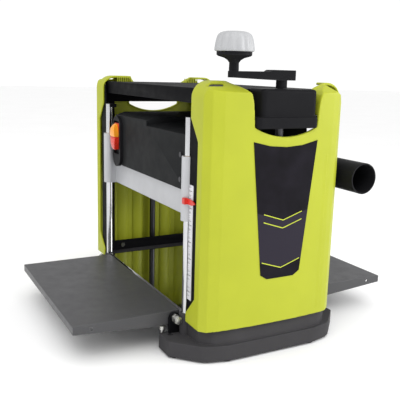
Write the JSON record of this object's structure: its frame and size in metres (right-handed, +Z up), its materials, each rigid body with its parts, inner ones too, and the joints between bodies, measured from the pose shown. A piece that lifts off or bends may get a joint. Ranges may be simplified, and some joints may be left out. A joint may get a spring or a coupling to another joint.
{
  "type": "thickness planer",
  "caption": "Benchtop thickness planer with a crank-raised cutter head on steel columns, fold-down tables, moulded side panels and a side dust outlet.",
  "frame": {"origin": "on the surface it stands on, under the middle of the bed, which is also the centre of the four bench bolt holes", "axes": "+X to the crank side, -Y to the infeed side, +Y to the outfeed side, +Z up"},
  "size_m": [0.4993, 0.58, 0.477],
  "materials": {
    "black_casting": "black painted casting, slightly rough",
    "base_plastic": "fine-grained moulded black plastic",
    "foot_rubber": "matt rubber",
    "polished_steel": "polished steel sheet",
    "bronze": "oiled sintered bronze",
    "dark_steel": "blackened steel",
    "black_frame": "satin black powder coat",
    "zinc_steel": "zinc plated",
    "ground_steel": "ground and polished",
    "lime_plastic": "semi-gloss moulded lime plastic",
    "label_skin": "printed vinyl",
    "scale_white": "printed white strip with black divisions",
    "black_plastic": "fine-grained moulded black plastic",
    "crank_paint": "black enamel",
    "knob_grey": "satin moulded grey plastic",
    "head_aluminium": "die-cast and painted silver",
    "cover_plastic": "black moulded plastic",
    "pointer_red": "red plastic",
    "roller_rubber": "ground rubber sleeve",
    "cutter_steel": "turned and blued steel",
    "knife_steel": "ground high-speed steel",
    "belt_rubber": "ribbed belt",
    "motor_black": "black enamel",
    "switch_red": "glossy red plastic",
    "key_orange": "glossy orange plastic",
    "table_paint": "dark grey powder coat"
  },
  "bodies": {
    "base": {"base_casting": "black_casting", "base_side_right": "base_plastic", "base_side_left": "base_plastic", "rubber_feet": "foot_rubber", "bed_plate": "polished_steel", "screw_bushes": "bronze", "lift_chain": "dark_steel", "side_frame_right": "black_frame", "side_frame_left": "black_frame", "frame_screws": "zinc_steel", "guide_columns": "ground_steel", "top_plate": "black_frame", "side_panel_right": "lime_plastic", "side_panel_left": "lime_plastic", "side_labels": "label_skin", "scale_strip": "scale_white", "crank_housing": "black_plastic", "table_brackets": "black_frame", "table_pivot_bolts": "zinc_steel", "table_stop_screws": "zinc_steel"},
    "crank": {"crank_arm": "crank_paint", "crank_fasteners": "zinc_steel", "lead_screw_right": "dark_steel", "sprocket_right": "dark_steel"},
    "knob": {"knob_collar": "black_plastic", "knob_cap": "knob_grey"},
    "left_screw": {"lead_screw_left": "dark_steel", "sprocket_left": "dark_steel"},
    "head": {"head_casting": "head_aluminium", "column_bushes": "bronze", "screw_nuts": "bronze", "front_cover": "cover_plastic", "top_cover": "cover_plastic", "cover_screws": "dark_steel", "scale_pointer": "pointer_red", "cutter_bearings": "zinc_steel", "roller_blocks": "dark_steel", "roller_springs": "zinc_steel", "roller_chain": "dark_steel", "roller_gearcase": "black_plastic", "pawl_shaft": "zinc_steel", "drive_belt": "belt_rubber", "motor_housing": "motor_black", "dust_hood": "cover_plastic", "dust_port": "black_plastic", "switch_box": "black_plastic"},
    "cutter": {"cutterhead": "cutter_steel", "knives": "knife_steel", "knife_clamps": "cutter_steel", "cutter_pulley": "zinc_steel"},
    "motor": {"motor_rotor": "dark_steel", "motor_pulley": "zinc_steel"},
    "infeed_roll": {"infeed_roller": "roller_rubber"},
    "outfeed_roll": {"outfeed_roller": "roller_rubber"},
    "pawls": {"kickback_pawls": "dark_steel"},
    "paddle": {"switch_paddle": "switch_red"},
    "key": {"safety_key": "key_orange"},
    "infeed_fold": {"infeed_table": "table_paint"},
    "outfeed_fold": {"outfeed_table": "table_paint"}
  },
  "joints": [
    {"name": "crank_turn", "type": "hinge", "parent": "base", "child": "crank", "pos_m": [0.228, 0, 0.42], "axis": [0, 0, 1], "range_deg": [-1800, 31700]},
    {"name": "head_lift", "type": "slide", "parent": "base", "child": "head", "axis": [0, 0, 1], "range_m": [-0.14, 0.008]},
    {"name": "left_screw_turn", "type": "hinge", "parent": "base", "child": "left_screw", "pos_m": [-0.228, 0, 0.2], "axis": [0, 0, 1], "range_deg": [-1800, 31700]},
    {"name": "knob_spin", "type": "hinge", "parent": "crank", "child": "knob", "pos_m": [0.228, -0.08, 0.44], "axis": [0, 0, 1], "continuous": true},
    {"name": "cutter_spin", "type": "hinge", "parent": "head", "child": "cutter", "pos_m": [0, 0, 0.232], "axis": [1, 0, 0], "continuous": true},
    {"name": "motor_spin", "type": "hinge", "parent": "head", "child": "motor", "pos_m": [0, 0.058, 0.3], "axis": [1, 0, 0], "continuous": true},
    {"name": "infeed_roller_spin", "type": "hinge", "parent": "head", "child": "infeed_roll", "pos_m": [0, -0.05, 0.2197], "axis": [1, 0, 0], "continuous": true},
    {"name": "outfeed_roller_spin", "type": "hinge", "parent": "head", "child": "outfeed_roll", "pos_m": [0, 0.05, 0.2197], "axis": [1, 0, 0], "continuous": true},
    {"name": "pawl_swing", "type": "hinge", "parent": "head", "child": "pawls", "pos_m": [0, -0.09, 0.238], "axis": [1, 0, 0], "range_deg": [0, 35]},
    {"name": "switch_paddle_tip", "type": "hinge", "parent": "head", "child": "paddle", "pos_m": [-0.125, -0.118, 0.306], "axis": [-1, 0, 0], "range_deg": [0, 4]},
    {"name": "safety_key_pull", "type": "slide", "parent": "paddle", "child": "key", "axis": [0, -1, 0], "range_m": [0, 0.018]},
    {"name": "infeed_table_fold", "type": "hinge", "parent": "base", "child": "infeed_fold", "pos_m": [0, -0.132, 0.052], "axis": [-1, 0, 0], "range_deg": [0, 74]},
    {"name": "outfeed_table_fold", "type": "hinge", "parent": "base", "child": "outfeed_fold", "pos_m": [0, 0.132, 0.052], "axis": [1, 0, 0], "range_deg": [0, 44]}
  ],
  "couplings": [
    {"joint": "head_lift", "follows": "crank_turn", "m_per_rad": -0.00025266},
    {"joint": "left_screw_turn", "follows": "crank_turn", "ratio": 1},
    {"joint": "motor_spin", "follows": "cutter_spin", "ratio": 1.4},
    {"joint": "infeed_roller_spin", "follows": "cutter_spin", "ratio": -0.0091},
    {"joint": "outfeed_roller_spin", "follows": "cutter_spin", "ratio": -0.0091}
  ]
}
